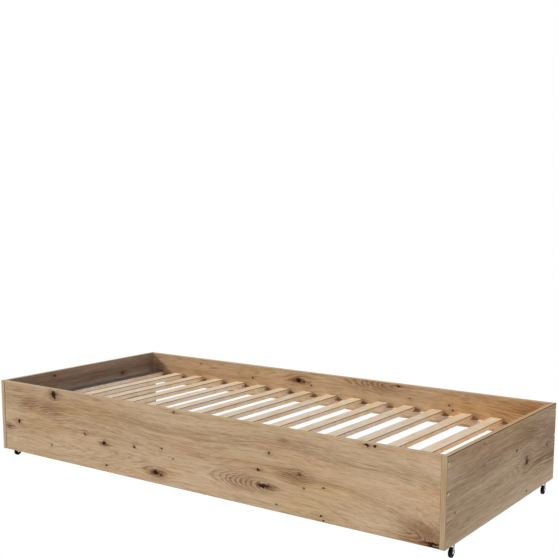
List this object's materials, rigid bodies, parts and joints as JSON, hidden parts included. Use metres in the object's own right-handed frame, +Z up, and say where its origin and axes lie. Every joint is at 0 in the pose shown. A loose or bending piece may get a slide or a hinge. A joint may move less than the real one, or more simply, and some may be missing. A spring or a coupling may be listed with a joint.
{
  "type": "under-bed box",
  "caption": "Long open under-bed box with plain oak-look boards, a slatted base that carries a mattress and small swivel castors under its ends.",
  "frame": {"origin": "on the floor, under the middle of the box's length and width", "axes": "+X along the length towards the right end board, +Y from the front board to the back board, +Z up"},
  "size_m": [1.85, 0.846, 0.303],
  "materials": {
    "oak_board": "matt knotty oak-look laminate on board",
    "oak_edge_band": "matt oak-look plastic edge band",
    "pale_slat_wood": "planed, unfinished pale softwood",
    "beech_dowel": "fluted beech",
    "zinc_steel": "zinc plated",
    "brass_cap": "satin brass plated",
    "socket_steel": "dark zinc plated steel",
    "fork_steel": "bright zinc plated steel",
    "black_wheel": "black moulded plastic"
  },
  "bodies": {
    "box": {"front_board": "oak_board", "back_board": "oak_board", "left_end_board": "oak_board", "right_end_board": "oak_board", "front_board_top_band": "oak_edge_band", "front_board_bottom_band": "oak_edge_band", "back_board_top_band": "oak_edge_band", "back_board_bottom_band": "oak_edge_band", "left_end_top_band": "oak_edge_band", "left_end_bottom_band": "oak_edge_band", "left_end_front_band": "oak_edge_band", "left_end_back_band": "oak_edge_band", "right_end_top_band": "oak_edge_band", "right_end_bottom_band": "oak_edge_band", "right_end_front_band": "oak_edge_band", "right_end_back_band": "oak_edge_band", "front_ledge": "pale_slat_wood", "back_ledge": "pale_slat_wood", "slat_01": "pale_slat_wood", "slat_02": "pale_slat_wood", "slat_03": "pale_slat_wood", "slat_04": "pale_slat_wood", "slat_05": "pale_slat_wood", "slat_06": "pale_slat_wood", "slat_07": "pale_slat_wood", "slat_08": "pale_slat_wood", "slat_09": "pale_slat_wood", "slat_10": "pale_slat_wood", "slat_11": "pale_slat_wood", "slat_12": "pale_slat_wood", "slat_13": "pale_slat_wood", "slat_14": "pale_slat_wood", "slat_15": "pale_slat_wood", "slat_16": "pale_slat_wood", "ledge_screws": "zinc_steel", "slat_nails": "zinc_steel", "left_end_screws": "zinc_steel", "right_end_screws": "zinc_steel", "left_end_screw_caps": "brass_cap", "right_end_screw_caps": "brass_cap", "left_end_dowels": "beech_dowel", "right_end_dowels": "beech_dowel", "front_left_castor_socket": "socket_steel", "front_right_castor_socket": "socket_steel", "back_left_castor_socket": "socket_steel", "back_right_castor_socket": "socket_steel"},
    "front_left_fork": {"front_left_castor_fork": "fork_steel", "front_left_castor_axle": "fork_steel"},
    "front_left_wheel": {"front_left_castor_wheel": "black_wheel"},
    "front_right_fork": {"front_right_castor_fork": "fork_steel", "front_right_castor_axle": "fork_steel"},
    "front_right_wheel": {"front_right_castor_wheel": "black_wheel"},
    "back_left_fork": {"back_left_castor_fork": "fork_steel", "back_left_castor_axle": "fork_steel"},
    "back_left_wheel": {"back_left_castor_wheel": "black_wheel"},
    "back_right_fork": {"back_right_castor_fork": "fork_steel", "back_right_castor_axle": "fork_steel"},
    "back_right_wheel": {"back_right_castor_wheel": "black_wheel"}
  },
  "joints": [
    {"name": "front_left_swivel", "type": "hinge", "parent": "box", "child": "front_left_fork", "pos_m": [-0.914, -0.358, 0.039], "axis": [0, 0, 1], "continuous": true},
    {"name": "front_left_roll", "type": "hinge", "parent": "front_left_fork", "child": "front_left_wheel", "pos_m": [-0.914, -0.363, 0.015], "axis": [1, 0, 0], "continuous": true},
    {"name": "front_right_swivel", "type": "hinge", "parent": "box", "child": "front_right_fork", "pos_m": [0.914, -0.358, 0.039], "axis": [0, 0, 1], "continuous": true},
    {"name": "front_right_roll", "type": "hinge", "parent": "front_right_fork", "child": "front_right_wheel", "pos_m": [0.914, -0.363, 0.015], "axis": [1, 0, 0], "continuous": true},
    {"name": "back_left_swivel", "type": "hinge", "parent": "box", "child": "back_left_fork", "pos_m": [-0.914, 0.358, 0.039], "axis": [0, 0, 1], "continuous": true},
    {"name": "back_left_roll", "type": "hinge", "parent": "back_left_fork", "child": "back_left_wheel", "pos_m": [-0.914, 0.353, 0.015], "axis": [1, 0, 0], "continuous": true},
    {"name": "back_right_swivel", "type": "hinge", "parent": "box", "child": "back_right_fork", "pos_m": [0.914, 0.358, 0.039], "axis": [0, 0, 1], "continuous": true},
    {"name": "back_right_roll", "type": "hinge", "parent": "back_right_fork", "child": "back_right_wheel", "pos_m": [0.914, 0.353, 0.015], "axis": [1, 0, 0], "continuous": true}
  ]
}
